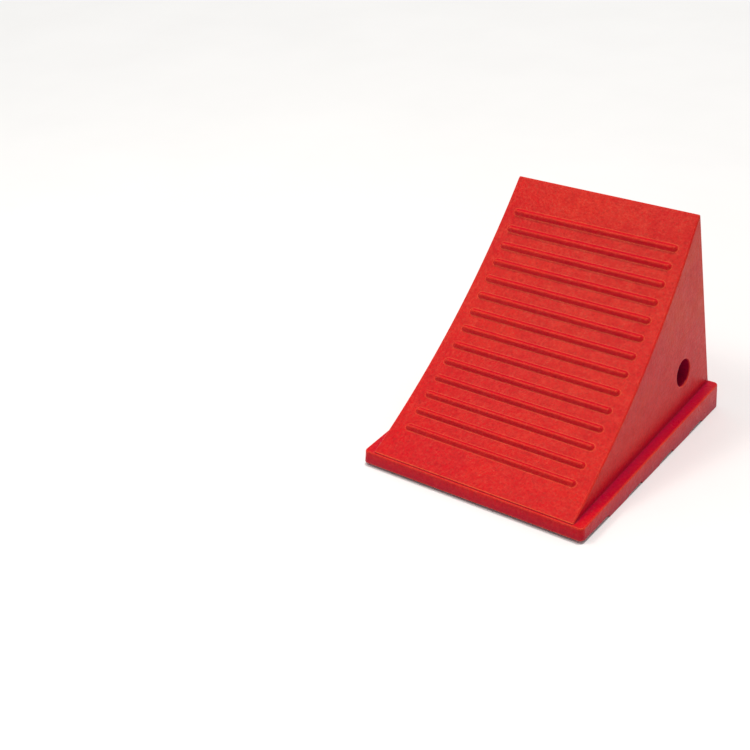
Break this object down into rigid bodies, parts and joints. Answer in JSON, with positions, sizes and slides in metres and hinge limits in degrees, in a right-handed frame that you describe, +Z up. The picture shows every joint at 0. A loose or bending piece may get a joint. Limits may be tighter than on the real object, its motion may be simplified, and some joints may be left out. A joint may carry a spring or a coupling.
{
  "type": "wheel chock",
  "caption": "Moulded wheel chock: a concave ribbed ramp wedge bonded on a flanged base with ground cleats, a cross hole for a rope and a hand pocket in the back wall.",
  "frame": {"origin": "on the ground under the middle of the base, between the cleats' ground plane's left, right, front and rear limits", "axes": "+Z up from the ground, +Y from the thin toe of the ramp to the tall back wall, so the ramp faces -Y; +X to the right when looking at the ramp, along the rope hole"},
  "size_m": [0.2298, 0.2644, 0.203],
  "materials": {
    "moulding_red": "semi-gloss moulded urethane, coloured right through, lightly mottled"
  },
  "bodies": {
    "root": {"wedge_body": "moulding_red", "base_sole": "moulding_red"}
  },
  "joints": []
}
